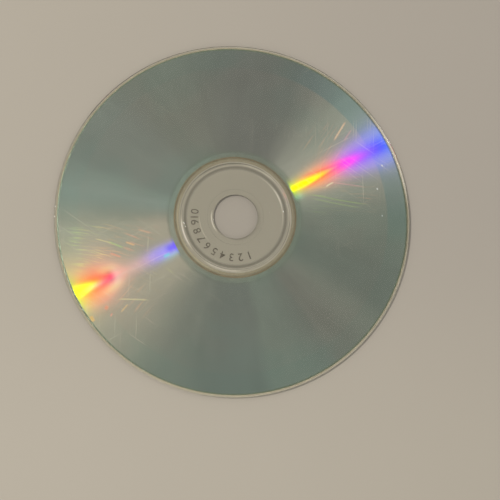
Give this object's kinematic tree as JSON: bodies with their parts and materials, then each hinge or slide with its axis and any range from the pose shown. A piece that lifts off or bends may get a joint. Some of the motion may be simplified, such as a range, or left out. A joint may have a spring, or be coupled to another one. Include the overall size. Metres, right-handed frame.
{
  "type": "compact disc",
  "caption": "Flat round optical disc of clear moulded plastic with a centre hole, a raised stacking ring and a mirror-like recording film sealed by lacquer.",
  "frame": {"origin": "on the axis of the centre hole, at the lacquer face that the disc rests on", "axes": "+Z along the disc's axis, out of the read side; +X and +Y in the plane of the disc"},
  "size_m": [0.12, 0.12, 0.0014],
  "materials": {
    "clear_polycarbonate": "moulded, clear and polished",
    "recording_dye": "thin grey-teal dye",
    "sputtered_metal": "mirror metal that splits light into colours",
    "clear_lacquer": "smooth clear lacquer over metal"
  },
  "bodies": {
    "root": {"polycarbonate_disc": "clear_polycarbonate", "dye_layer": "recording_dye", "silver_reflector": "sputtered_metal", "lacquer_coat": "clear_lacquer"}
  },
  "joints": []
}
